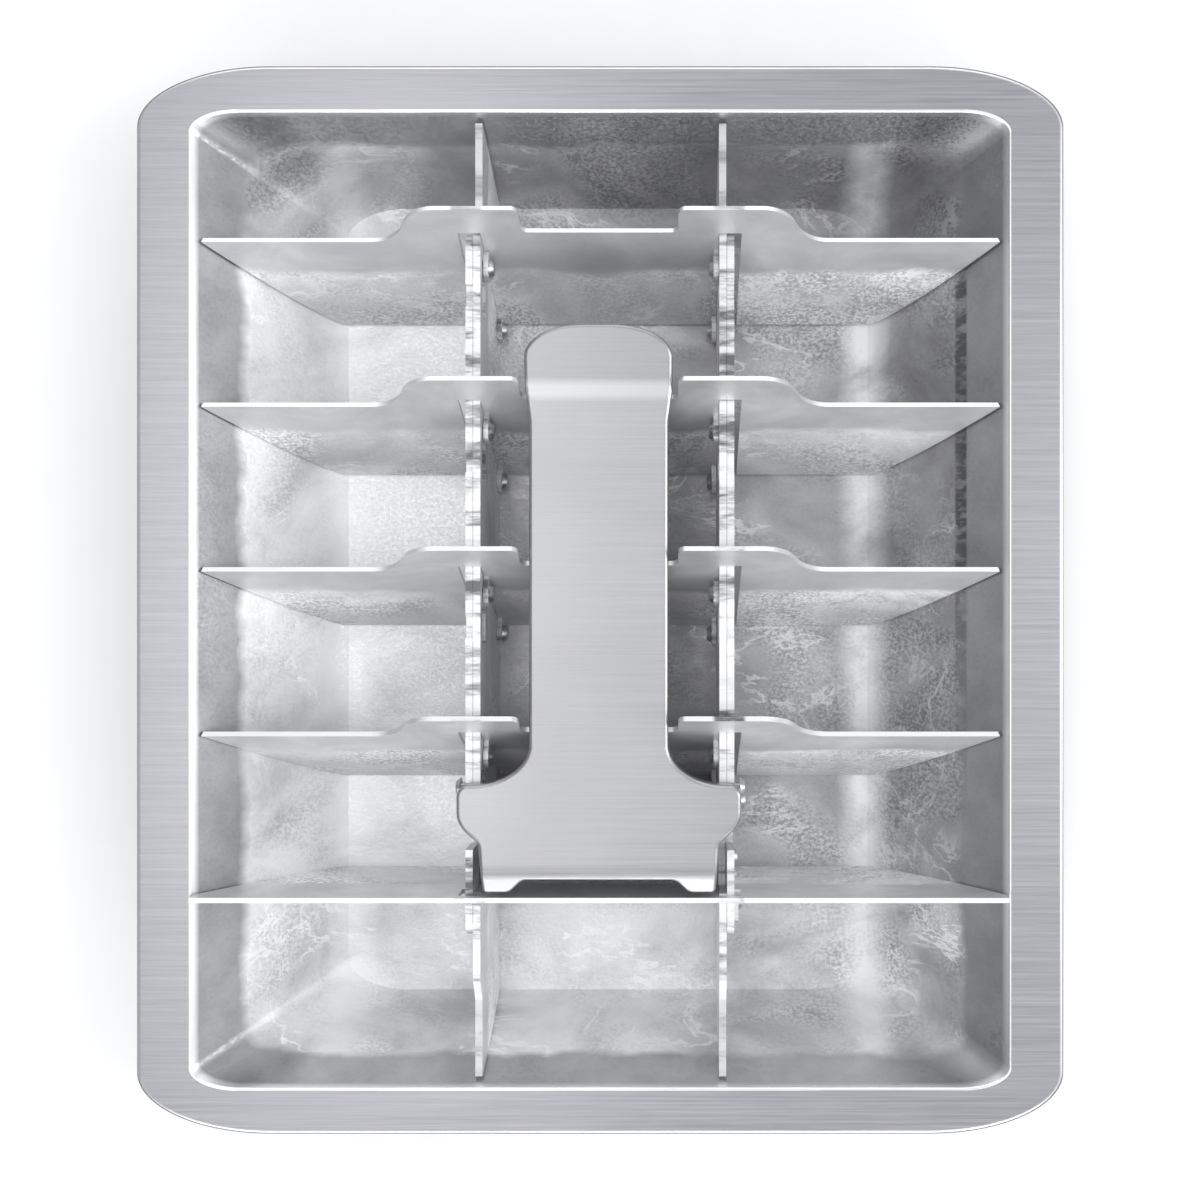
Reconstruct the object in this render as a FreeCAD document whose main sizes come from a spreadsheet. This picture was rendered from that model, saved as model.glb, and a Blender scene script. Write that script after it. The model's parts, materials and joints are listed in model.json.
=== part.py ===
import FreeCAD, Part

import math
import os

import Sketcher

# Lever ice cube tray: a pressed pan, and a lift-out grid of two dividers, four tilting cross
# plates, a sliding frame with the fifth cross plate, and the lever that works them.
# Frame: +Z up, +Y towards the lever's tip, origin at the bottom centre of the pan. Millimetres.

V = FreeCAD.Vector
doc = FreeCAD.newDocument("LeverIceCubeTray")
sizes = doc.addObject("Spreadsheet::Sheet", "Sizes")

DRIVING = [
    # the pan
    ("PanLength", 280.0),
    ("PanWidth", 243.0),
    ("PanHeight", 36.0),
    ("PanSheet", 1.0),
    ("RimSide", 14.3),
    ("RimEnd", 12.3),
    ("LipDrop", 3.4),
    ("RimCornerAcross", 35.0),
    ("RimCornerAlong", 16.2),
    ("MouthCornerAcross", 12.0),
    ("MouthCornerAlong", 5.5),
    ("FloorCornerAcross", 17.0),
    ("FloorCornerAlong", 9.0),
    ("WallRunSide", 32.2),
    ("WallRunEnd", 14.9),
    ("WallCurve", 0.8),
    ("RimRound", 1.4),
    ("MouthRound", 0.8),
    # the two dividers and the two slide strips beside them
    ("DividerGap", 62.4),
    ("DividerSheet", 1.9),
    ("DividerTop", 36.5),
    ("DividerEndTop", 33.0),
    ("DividerBottom", 1.2),
    ("DividerStepRun", 6.0),
    ("DividerHighReach", 19.5),
    ("StripSheet", 1.9),
    ("StripGap", 0.1),
    ("StripBottom", 1.8),
    ("StripCorner", 4.0),
    ("StripFrontReach", 8.0),
    ("StripRearReach", 10.3),
    ("ToothDrop", 0.7),
    ("ToothWidth", 1.5),
    ("ReliefFlat", 5.8),
    ("TopRecessDepth", 1.4),
    ("TopRecessLength", 5.8),
    ("TopRecessSetback", 11.5),
    # the cross plates
    ("PlatePitch", 43.3),
    ("FirstPivotPlace", 76.7),
    ("PivotHeight", 5.0),
    ("PlateLean", 25.0),
    ("PlateSheet", 1.3),
    ("PlateSetForward", 4.0),
    ("PlateFoot", 1.5),
    ("PlateOuterTop", 33.9),
    ("PlateHumpTop", 46.0),
    ("PlateSlotTop", 37.2),
    ("PlateNotchFloor", 37.6),
    ("NotchHalf", 20.5),
    ("HumpHalf", 42.0),
    ("HumpFootHalf", 60.0),
    ("HumpRound", 2.0),
    ("BridgeClearance", 1.95),
    ("BridgeGap", 0.5),
    ("LugReach", 3.4),
    ("DrivePinRise", 27.0),
    # the fifth cross plate, which travels with the strips
    ("EndPlatePlace", 77.7),
    ("EndPlateTop", 39.5),
    ("EndPlateBottom", 2.0),
    ("EndLugTop", 30.0),
    ("EndLugBottom", 14.0),
    ("EndLugReach", 8.0),
    ("EndRivetSetback", 4.4),
    ("EndWebLap", 1.0),
    # the lever
    ("LeverPivotPlace", 55.0),
    ("LeverPivotHeight", 20.0),
    ("LeverSwing", 45.0),
    ("LeverSheet", 1.4),
    ("LeverTop", 42.0),
    ("LeverEdgeDepth", 4.2),
    ("LeverStrapHalf", 17.9),
    ("LeverTipHalf", 19.0),
    ("LeverTipPlace", 70.4),
    ("LeverBendPlace", 54.0),
    ("LeverTipRise", 12.0),
    ("LeverTipAcross", 15.0),
    ("LeverTipAlong", 8.0),
    ("FlareAcross", 15.0),
    ("FlareAlong", 10.6),
    ("FlareEnd", 47.6),
    ("EarLength", 10.0),
    ("EarGap", 0.15),
    ("EarReach", 4.5),
    ("EarRound", 3.0),
    ("EarInset", 1.0),
    ("EarShoulderRise", 9.0),
    ("EarHeelRise", 1.0),
    ("YokeStep", 5.2),
    ("YokeSideGap", 0.2),
    ("FootTaper", 0.8),
    ("FootPlace", 75.7),
    ("FootLength", 7.0),
    ("FootRelief", 3.5),
    ("FootDrop", 2.2),
    ("FootCurl", 5.7),
    ("CornerCut", 1.2),
    ("TipStepLength", 8.0),
    ("TipThinRun", 4.0),
    ("TipBendRound", 3.0),
    ("FootCurlRound", 2.0),
    ("HollowSetback", 2.0),
    ("CutOverrun", 2.0),
    ("LeverRound", 1.1),
    ("WasherThickness", 0.8),
    ("WasherRadius", 3.6),
    # rivets, pins and clearances
    ("ShankRadius", 1.25),
    ("HeadRadius", 2.6),
    ("HeadHeight", 1.2),
    ("HeadTaper", 0.7),
    ("FitClearance", 0.05),
    ("SlotClearance", 0.25),
    ("WindowClearance", 0.35),
    ("FaceGap", 0.1),
    ("PanClearance", 1.0),
    ("FloorClearance", 0.12),
    ("ReliefClearance", 0.6),
    ("GuidePlace", 70.0),
    ("GuideHeight", 22.0),
]


def fill_sheet():
    """Write the driving dimensions into the sheet, one alias to a row."""
    for row, (name, number) in enumerate(DRIVING, start=1):
        sizes.set("A%d" % row, name)
        sizes.set("B%d" % row, str(number))
        sizes.setAlias("B%d" % row, name)
    doc.recompute()


fill_sheet()


def dim(text):
    """Turn a formula with bare size names into one that names the sheet."""
    for name, _ in sorted(DRIVING, key=lambda entry: -len(entry[0])):
        text = text.replace("{" + name + "}", "Sizes." + name)
    return text


def number(text):
    """The value of a formula over the sheet, as a plain number."""
    found = sizes.evalExpression(dim(text))
    return float(getattr(found, "Value", found))


# Formulas that several pieces share.
DIVIDER_IN = "{DividerGap} / 2"
DIVIDER_OUT = "({DividerGap} / 2 + {DividerSheet})"
STRIP_IN = "({DividerGap} / 2 + {DividerSheet} + {StripGap})"
STRIP_OUT = "({DividerGap} / 2 + {DividerSheet} + {StripGap} + {StripSheet})"
LEG_HALF = "({DividerGap} / 2 - {FaceGap})"
SLOT_OUTER = "(" + STRIP_OUT + " + {BridgeClearance})"
TRAVEL = "({DrivePinRise} * sin({PlateLean}))"
PIN_LOW = "({PivotHeight} + {DrivePinRise} * cos({PlateLean}))"
PIN_HIGH = "({PivotHeight} + {DrivePinRise})"
EAR_IN = "(" + STRIP_OUT + " + {EarGap})"
EAR_OUT = "(" + STRIP_OUT + " + {EarGap} + {LeverSheet})"
LEVER_PIN_ARM = "(" + TRAVEL + " / (2 * sin({LeverSwing} / 2)))"
LEVER_PIN_REST = "({LeverPivotPlace} - " + TRAVEL + " / 2)"
LEVER_PIN_LOW = "({LeverPivotHeight} + " + LEVER_PIN_ARM + " * cos({LeverSwing} / 2))"
ROWS = range(4)
SIDES = ((1, "right"), (-1, "left"))
ENDS = ((1, "front"), (-1, "rear"))
VOLUME_SLACK = 0.0001

# The lever's bridge over the dividers swings down behind the pivot, into reliefs cut for it.
YOKE_BEHIND = "({FlareEnd} + {EarLength} + {YokeStep} - {LeverPivotPlace})"
YOKE_AHEAD = "({LeverPivotPlace} - {FlareEnd})"
YOKE_OVER = "({LeverTop} - {LeverPivotHeight})"
YOKE_UNDER = "({LeverTop} - {LeverEdgeDepth} - {LeverPivotHeight})"
RELIEF_FLOOR = ("({LeverPivotHeight} + " + YOKE_UNDER + " * cos({LeverSwing}) - "
                + YOKE_BEHIND + " * sin({LeverSwing}) - {ReliefClearance})")
RELIEF_REAR = ("-({LeverPivotPlace} + " + YOKE_BEHIND + " * cos({LeverSwing}) + "
               + YOKE_OVER + " * sin({LeverSwing}) + {ReliefClearance})")
RELIEF_FRONT = ("-({LeverPivotPlace} - " + YOKE_AHEAD + " * cos({LeverSwing}) + "
                + YOKE_UNDER + " * sin({LeverSwing}) - {ReliefClearance})")


def pivot_place(row):
    """Formula for the Y of a cross plate's pivot, row 0 being nearest the lever's tip."""
    return "({FirstPivotPlace} - %d * {PlatePitch})" % row


def origin_plane(body, role):
    """The body's own origin plane of that role."""
    return [item for item in body.Origin.OriginFeatures if item.Role == role][0]


def new_sketch(body, name, role, offset=None):
    """A sketch on one of the body's origin planes, moved along its normal by a formula."""
    sketch = body.newObject("Sketcher::SketchObject", name)
    sketch.AttachmentSupport = [(origin_plane(body, role), "")]
    sketch.MapMode = "FlatFace"
    if offset is not None:
        sketch.AttachmentOffset = FreeCAD.Placement(V(0, 0, number(offset)), FreeCAD.Rotation())
        sketch.setExpression("AttachmentOffset.Base.z", dim(offset))
    return sketch


def arc_between(start, end, radius, turn):
    """The arc of that radius from start to end, turning left (1) or right (-1)."""
    chord = end - start
    rise = math.sqrt(max(radius * radius - chord.Length * chord.Length / 4, 0.0))
    side = V(-chord.y, chord.x, 0)
    side.normalize()
    centre = (start + end) / 2 + side * rise * turn
    first, last = (start, end) if turn > 0 else (end, start)
    angles = [math.atan2(spot.y - centre.y, spot.x - centre.x) for spot in (first, last)]
    return Part.ArcOfCircle(Part.Circle(centre, V(0, 0, 1), radius), angles[0], angles[1])


def draw_outline(sketch, points, bends=None):
    """Draw a closed outline through points given as formula pairs.

    bends maps the number of an edge to its radius formula and its turn.
    """
    bends = bends or {}
    spots = [V(number(across), number(up), 0) for across, up in points]
    count = len(spots)
    base = sketch.GeometryCount
    ends = []
    for index, start in enumerate(spots):
        end = spots[(index + 1) % count]
        if index in bends:
            radius, turn = bends[index]
            sketch.addGeometry(arc_between(start, end, number(radius), turn))
            ends.append((1, 2) if turn > 0 else (2, 1))
        else:
            sketch.addGeometry(Part.LineSegment(start, end))
            ends.append((1, 2))
    for index, (across, up) in enumerate(points):
        edge = base + index
        following = base + (index + 1) % count
        first = ends[index][0]
        sketch.addConstraint(Sketcher.Constraint(
            "Coincident", edge, ends[index][1], following, ends[(index + 1) % count][0]))
        for kind, text, measure in (("DistanceX", across, spots[index].x), ("DistanceY", up, spots[index].y)):
            key = sketch.addConstraint(Sketcher.Constraint(kind, -1, 1, edge, first, measure))
            sketch.setExpression("Constraints[%d]" % key, dim(text))
        if index in bends:
            radius = bends[index][0]
            key = sketch.addConstraint(Sketcher.Constraint("Radius", edge, number(radius)))
            sketch.setExpression("Constraints[%d]" % key, dim(radius))


def draw_circle(sketch, across, up, radius):
    """Draw a circle whose centre and radius are formulas."""
    centre = V(number(across), number(up), 0)
    key = sketch.addGeometry(Part.Circle(centre, V(0, 0, 1), number(radius)))
    for kind, text, measure in (("DistanceX", across, centre.x), ("DistanceY", up, centre.y)):
        row = sketch.addConstraint(Sketcher.Constraint(kind, -1, 1, key, 3, measure))
        sketch.setExpression("Constraints[%d]" % row, dim(text))
    row = sketch.addConstraint(Sketcher.Constraint("Radius", key, number(radius)))
    sketch.setExpression("Constraints[%d]" % row, dim(radius))


def draw_box(sketch, across_low, across_high, up_low, up_high):
    """Draw an upright rectangle between four formulas."""
    draw_outline(sketch, [
        (across_low, up_low),
        (across_high, up_low),
        (across_high, up_high),
        (across_low, up_high),
    ])


def pad(body, sketch, name, length, symmetric=False):
    """Pad a sketch by a formula, along its normal or evenly about its plane."""
    feature = body.newObject("PartDesign::Pad", name)
    feature.Profile = sketch
    feature.setExpression("Length", dim(length))
    if symmetric:
        feature.SideType = "Symmetric"
    doc.recompute()
    return feature


def mirrored(points, bends):
    """The closed outline of a right half and its mirror image about the upright axis."""
    count = len(points)
    whole = list(points) + [("-(" + across + ")", up) for across, up in reversed(points)]
    both = dict(bends)
    for edge, bend in bends.items():
        both[2 * count - 2 - edge] = bend
    return whole, both


# The pan and its cavity.

def corner_curve(first, pole, last, turn):
    """The round or elliptical corner from first to last, whose sides meet at pole."""
    before = (pole - first).Length
    after = (last - pole).Length
    if abs(before - after) < 1e-6:
        inward = ((first + last) / 2 - pole).normalize()
        radius = before / math.tan(turn / 2)
        depth = radius / math.cos(turn / 2) - radius
        return Part.Arc(first, pole + inward * depth, last).toShape()
    curve = Part.BSplineCurve()
    weight = math.cos(turn / 2)
    curve.buildFromPolesMultsKnots([first, pole, last], [3, 3], [0.0, 1.0], False, 2, [1.0, weight, 1.0])
    return curve.toShape()


def soft_wire(corners):
    """A closed outline through corners, each given as (point, cut before, cut after).

    A corner is sharp with no cuts, a circle's arc with equal ones and a quarter ellipse where a
    right angle has unequal ones.
    """
    count = len(corners)
    edges = []
    ends = []
    for index, (point, before, after) in enumerate(corners):
        incoming = (point - corners[index - 1][0]).normalize()
        outgoing = (corners[(index + 1) % count][0] - point).normalize()
        ends.append((point - incoming * before, point, point + outgoing * after, incoming.getAngle(outgoing)))
    for index, (first, pole, last, turn) in enumerate(ends):
        if (last - first).Length > 1e-6:
            edges.append(corner_curve(first, pole, last, turn))
        edges.append(Part.makeLine(last, ends[(index + 1) % count][0]))
    return Part.Wire(edges)


def rounded_wire(half_across, half_along, corner_across, corner_along, height):
    """A rectangle with quarter-ellipse corners, level at the height."""
    across, along = corner_across, corner_along
    return soft_wire([
        (V(half_across, half_along, height), along, across),
        (V(-half_across, half_along, height), across, along),
        (V(-half_across, -half_along, height), along, across),
        (V(half_across, -half_along, height), across, along),
    ])


WALL_STEPS = (0.0, 0.04, 0.12, 0.26, 0.45, 0.7, 1.0)


def pan_body_shape(shift, floor, top):
    """The pan's pressed hollow, grown or shrunk by shift, from floor height to top height."""
    mouth_x = number("{PanWidth} / 2 - {RimSide}")
    mouth_y = number("{PanLength} / 2 - {RimEnd}")
    run_x = number("{WallRunSide}")
    run_y = number("{WallRunEnd}")
    curve = number("{WallCurve}")
    wires = []
    for step in WALL_STEPS:
        spread = step ** curve
        mix = {
            key: number("{FloorCorner%s}" % key) * (1 - spread) + number("{MouthCorner%s}" % key) * spread
            for key in ("Across", "Along")}
        wires.append(rounded_wire(
            mouth_x - run_x * (1 - spread) + shift,
            mouth_y - run_y * (1 - spread) + shift,
            mix["Across"] + shift,
            mix["Along"] + shift,
            floor + (top - floor) * step))
    return Part.makeLoft(wires, True, False)


def cavity_shape(clearance):
    """The pan's hollow less a clearance all round, open well above the rim."""
    floor = number("{PanSheet}")
    top = number("{PanHeight}")
    hollow = pan_body_shape(-clearance, floor + number("{FloorClearance}"), top)
    above = rounded_wire(
        number("{PanWidth} / 2 - {RimSide}") - clearance,
        number("{PanLength} / 2 - {RimEnd}") - clearance,
        number("{MouthCornerAcross}") - clearance,
        number("{MouthCornerAlong}") - clearance,
        top)
    return hollow.fuse(Part.Face(above).extrude(V(0, 0, top))).removeSplitter()


def ring_edges(shape, height, half_across):
    """Edges that lie level at a height on the outline with that half width."""
    found = []
    for edge in shape.Edges:
        box = edge.BoundBox
        if abs(box.ZMin - height) < 1e-4 and abs(box.ZMax - height) < 1e-4:
            found.append(edge)
    reach = [edge for edge in found if belongs(edge, half_across)]
    return reach


def belongs(edge, half_across):
    """Whether a level edge belongs to the outline with that half width."""
    outer = number("{PanWidth} / 2")
    middle = edge.valueAt((edge.FirstParameter + edge.LastParameter) / 2)
    mouth_x = number("{PanWidth} / 2 - {RimSide}")
    mouth_y = number("{PanLength} / 2 - {RimEnd}")
    inside = abs(middle.x) < mouth_x + 1e-3 and abs(middle.y) < mouth_y + 1e-3
    return inside if half_across < outer - 1e-3 else not inside


def pan_solid():
    """The whole pressed pan with its flat rim, turned-down lip and rounded mouth."""
    sheet = number("{PanSheet}")
    top = number("{PanHeight}")
    half_x = number("{PanWidth} / 2")
    half_y = number("{PanLength} / 2")
    corner_x = number("{RimCornerAcross}")
    corner_y = number("{RimCornerAlong}")
    lip = number("{LipDrop}")
    inside_rim = top - sheet / 2
    skin = pan_body_shape(sheet, 0.0, inside_rim)
    skin = skin.common(Part.makeBox(4 * half_x, 4 * half_y, inside_rim, V(-2 * half_x, -2 * half_y, 0)))
    rim = Part.Face(rounded_wire(half_x, half_y, corner_x, corner_y, top - sheet)).extrude(V(0, 0, sheet))
    skirt = Part.Face(rounded_wire(half_x, half_y, corner_x, corner_y, top - lip)).extrude(V(0, 0, lip))
    inner = Part.Face(rounded_wire(
        half_x - sheet, half_y - sheet, corner_x - sheet, corner_y - sheet, top - lip)).extrude(V(0, 0, lip))
    solid = skin.fuse(rim.fuse(skirt.cut(inner)))
    hollow = pan_body_shape(0.0, sheet, top)
    solid = solid.cut(hollow).removeSplitter()
    solid = solid.makeFillet(number("{RimRound}"), ring_edges(solid, top, half_x))
    return solid.makeFillet(number("{MouthRound}"), ring_edges(solid, top, 0.0))


def block(across, along):
    """An upright block taller than the pan, between two X places and two Y places."""
    over = number("{CutOverrun}")
    low_x, high_x = sorted(across)
    low_y, high_y = sorted(along)
    return Part.makeBox(
        high_x - low_x, high_y - low_y, number("{PanHeight}") + 2 * over, V(low_x, low_y, -over))


def pan_blocks():
    """The blocks that part the pan into its floor, straight walls and corners, by name.

    The straight walls end where the floor's corners begin, so no piece holds two walls.
    """
    floor_x = number("{PanWidth} / 2 - {RimSide} - {WallRunSide}")
    floor_y = number("{PanLength} / 2 - {RimEnd} - {WallRunEnd}")
    straight_x = floor_x - number("{FloorCornerAcross}")
    straight_y = floor_y - number("{FloorCornerAlong}")
    far_x = number("{PanWidth}")
    far_y = number("{PanLength}")
    middle = block((-floor_x, floor_x), (-straight_y, straight_y))
    middle = middle.fuse(block((-straight_x, straight_x), (-floor_y, floor_y)))
    blocks = {"pan_floor": middle}
    for side, side_name in SIDES:
        blocks["pan_side_" + side_name] = block((side * floor_x, side * far_x), (-straight_y, straight_y))
    for end, end_name in ENDS:
        blocks["pan_end_" + end_name] = block((-straight_x, straight_x), (end * floor_y, end * far_y))
        for side, side_name in SIDES:
            corner = block((side * straight_x, side * far_x), (end * straight_y, end * far_y))
            blocks["pan_corner_%s_%s" % (end_name, side_name)] = corner.cut(middle)
    return blocks


def make_pan():
    """The pan as nine pieces that meet face to face, floor first."""
    whole = pan_solid()
    found = []
    for name, space in pan_blocks().items():
        piece = doc.addObject("Part::Feature", name)
        piece.Shape = whole.common(space)
        piece.Placement = FreeCAD.Placement()
        piece.Label = name
        found.append(piece)
    missing = whole.Volume - sum(piece.Shape.Volume for piece in found)
    if abs(missing) > VOLUME_SLACK * whole.Volume or any(len(piece.Shape.Solids) != 1 for piece in found):
        raise RuntimeError("the pan's pieces do not add up to the pan")
    return found


# The hollow that trims the grid's ends, one clearance smaller than the pan.
trim = doc.addObject("Part::Feature", "TrimHollow")
trim.Shape = cavity_shape(number("{PanClearance}"))


def trimmed(body, label):
    """Trim a body's ends to the pan's hollow and name the result."""
    piece = doc.addObject("Part::Common", label)
    piece.Base = body
    piece.Tool = trim
    piece.Label = label
    return piece


# Rivets, pins and washers, all lying along X.

def along_x(feature, start, place, height):
    """Lay a primitive's own Z axis along +X from a place given by formulas."""
    feature.Placement = FreeCAD.Placement(V(0, 0, 0), FreeCAD.Rotation(V(0, 1, 0), 90))
    feature.setExpression("Placement.Base.x", dim(start))
    feature.setExpression("Placement.Base.y", dim(place))
    feature.setExpression("Placement.Base.z", dim(height))


def rod(name, start, end, place, height, radius):
    """A plain cylinder along X between two formulas."""
    piece = doc.addObject("Part::Cylinder", name)
    piece.setExpression("Radius", dim(radius))
    piece.setExpression("Height", dim("(%s) - (%s)" % (end, start)))
    along_x(piece, start, place, height)
    return piece


def rivet_head(name, start, end, place, height, points_out):
    """A low tapered head, wide at start when it points outwards along +X, else wide at end."""
    piece = doc.addObject("Part::Cone", name)
    wide, narrow = "{HeadRadius}", "({HeadRadius} - {HeadHeight} * {HeadTaper})"
    piece.setExpression("Radius1", dim(wide if points_out else narrow))
    piece.setExpression("Radius2", dim(narrow if points_out else wide))
    piece.setExpression("Height", dim("(%s) - (%s)" % (end, start)))
    along_x(piece, start, place, height)
    return piece


def rivet(name, side, low, high, place, height, low_head=True, high_head=True):
    """A rivet on one side: its shank from low to high in distance from the middle plane."""
    def span(first, second):
        """The two distances as X places in rising order on this side."""
        return (first, second) if side > 0 else ("-(%s)" % second, "-(%s)" % first)

    parts = []
    start, end = span(low, high)
    parts.append(rod(name + "_shank", start, end, place, height, "{ShankRadius}"))
    if low_head:
        start, end = span("(%s) - {HeadHeight}" % low, low)
        parts.append(rivet_head(name + "_low_head", start, end, place, height, side < 0))
    if high_head:
        start, end = span(high, "(%s) + {HeadHeight}" % high)
        parts.append(rivet_head(name + "_high_head", start, end, place, height, side > 0))
    if len(parts) == 1:
        return parts[0]
    whole = doc.addObject("Part::MultiFuse", name)
    whole.Shapes = parts
    return whole


def group(label, pieces):
    """Identical fasteners gathered into one named node of separate solids."""
    node = doc.addObject("Part::Compound", label)
    node.Links = pieces
    node.Label = label
    return node


# The dividers: fixed walls of the grid, pierced for the drive pins.

def make_divider(side, name):
    """One long divider wall with its windows, rivet holes and lever relief."""
    body = doc.addObject("PartDesign::Body", "divider_body_" + name)
    start = DIVIDER_IN if side > 0 else "-" + DIVIDER_OUT
    sketch = new_sketch(body, "divider_outline_" + name, "YZ_Plane", start)
    rear = "-({PanLength} / 2)"
    front = "({PanLength} / 2)"
    high_rear = "-({EndPlatePlace} + {StripRearReach} + " + TRAVEL + ")"
    high_front = "(" + pivot_place(0) + " + {DividerHighReach})"
    draw_outline(sketch, [
        (rear, "{DividerBottom}"),
        (front, "{DividerBottom}"),
        (front, "{DividerEndTop}"),
        (high_front + " + {DividerStepRun}", "{DividerEndTop}"),
        (high_front, "{DividerTop}"),
        (RELIEF_FRONT, "{DividerTop}"),
        (RELIEF_FRONT, RELIEF_FLOOR),
        (RELIEF_REAR, RELIEF_FLOOR),
        (RELIEF_REAR, "{DividerTop}"),
        (high_rear, "{DividerTop}"),
        (high_rear + " - {DividerStepRun}", "{DividerEndTop}"),
        (rear, "{DividerEndTop}"),
    ])
    for row in ROWS:
        place = pivot_place(row)
        draw_box(
            sketch,
            place + " - {ShankRadius} - {WindowClearance}",
            place + " + " + TRAVEL + " + {ShankRadius} + {WindowClearance}",
            PIN_LOW + " - {ShankRadius} - {WindowClearance}",
            PIN_HIGH + " + {ShankRadius} + {WindowClearance}")
        draw_circle(sketch, place, "{PivotHeight}", "{ShankRadius}")
    draw_circle(sketch, "-{LeverPivotPlace}", "{LeverPivotHeight}", "{ShankRadius}")
    draw_circle(sketch, "-{GuidePlace}", "{GuideHeight}", "{ShankRadius}")
    pad(body, sketch, "divider_wall_" + name, "{DividerSheet}")
    return trimmed(body, "divider_" + name)


# The slide strips: they ride outside the dividers and push the cross plates.

def slot(sketch, place, height):
    """A level slot that lets a fixed rivet stay put while the strip travels towards -Y."""
    play = "({ShankRadius} + {SlotClearance})"
    draw_box(
        sketch,
        place + " - " + play,
        place + " + " + TRAVEL + " + " + play,
        height + " - " + play,
        height + " + " + play)


def make_strip(side, name):
    """One slide strip with slots for rivets and pins and the recesses along its top."""
    body = doc.addObject("PartDesign::Body", "strip_body_" + name)
    start = STRIP_IN if side > 0 else "-" + STRIP_OUT
    sketch = new_sketch(body, "strip_outline_" + name, "YZ_Plane", start)
    rear = "-({EndPlatePlace} + {StripRearReach})"
    front = "(" + pivot_place(0) + " + " + TRAVEL + " + {StripFrontReach})"
    play = "({ShankRadius} + {SlotClearance})"
    pin = "-" + LEVER_PIN_REST
    relief_rear = "(" + RELIEF_REAR + " + " + TRAVEL + ")"
    recess_floor = "({DividerTop} - {TopRecessDepth})"
    points = [
        (rear, "{StripBottom}"),
        (front, "{StripBottom}"),
        (front, "{DividerTop} - {StripCorner}"),
        (front + " - {StripCorner}", "{DividerTop}"),
    ]
    bends = {2: ("{StripCorner}", 1)}
    for row in ROWS[:3]:
        middle = "(" + pivot_place(row) + " + {PlateOuterTop} * sin({PlateLean}) - {TopRecessSetback})"
        points.append((middle + " + {TopRecessLength} / 2", "{DividerTop}"))
        points.append((middle + " + {TopRecessLength} / 2", recess_floor))
        points.append((middle + " - {TopRecessLength} / 2", recess_floor))
        points.append((middle + " - {TopRecessLength} / 2", "{DividerTop}"))
    pin_floor = LEVER_PIN_LOW + " - " + play
    points.extend([
        (pin + " + " + play, "{DividerTop}"),
        (pin + " + " + play, pin_floor),
        (pin + " - " + play, pin_floor),
        (pin + " - " + play, "{DividerTop} - {ToothDrop}"),
        (pin + " - " + play + " - {ToothWidth}", "{DividerTop} - {ToothDrop}"),
        (relief_rear + " + {ReliefFlat}", RELIEF_FLOOR),
        (relief_rear, RELIEF_FLOOR),
        (relief_rear, "{DividerTop}"),
        (rear + " + {StripCorner}", "{DividerTop}"),
        (rear, "{DividerTop} - {StripCorner}"),
    ])
    bends[len(points) - 2] = ("{StripCorner}", 1)
    draw_outline(sketch, points, bends)
    for row in ROWS:
        place = pivot_place(row)
        slot(sketch, place, "{PivotHeight}")
        draw_box(
            sketch,
            place + " + " + TRAVEL + " - " + play,
            place + " + " + TRAVEL + " + " + play,
            PIN_LOW + " - " + play,
            PIN_HIGH + " + " + play)
    slot(sketch, "-{LeverPivotPlace}", "{LeverPivotHeight}")
    slot(sketch, "-{GuidePlace}", "{GuideHeight}")
    draw_circle(sketch, END_RIVET_PLACE, END_RIVET_HEIGHT, "{ShankRadius}")
    pad(body, sketch, "strip_wall_" + name, "{StripSheet}")
    body.Label = "slide_strip_" + name
    return body


END_RIVET_HEIGHT = "(({EndLugTop} + {EndLugBottom}) / 2)"
END_RIVET_PLACE = "-({EndPlatePlace} + {EndRivetSetback})"


# The four tilting cross plates.

def comb_outline(foot, slot_top, outer_top, end_half):
    """Right-half points of a comb plate up to the end of its level outer top edge."""
    return [
        (LEG_HALF, foot),
        (LEG_HALF, slot_top),
        (SLOT_OUTER, slot_top),
        (SLOT_OUTER, foot),
        (end_half, foot),
        (end_half, outer_top),
    ]


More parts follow.
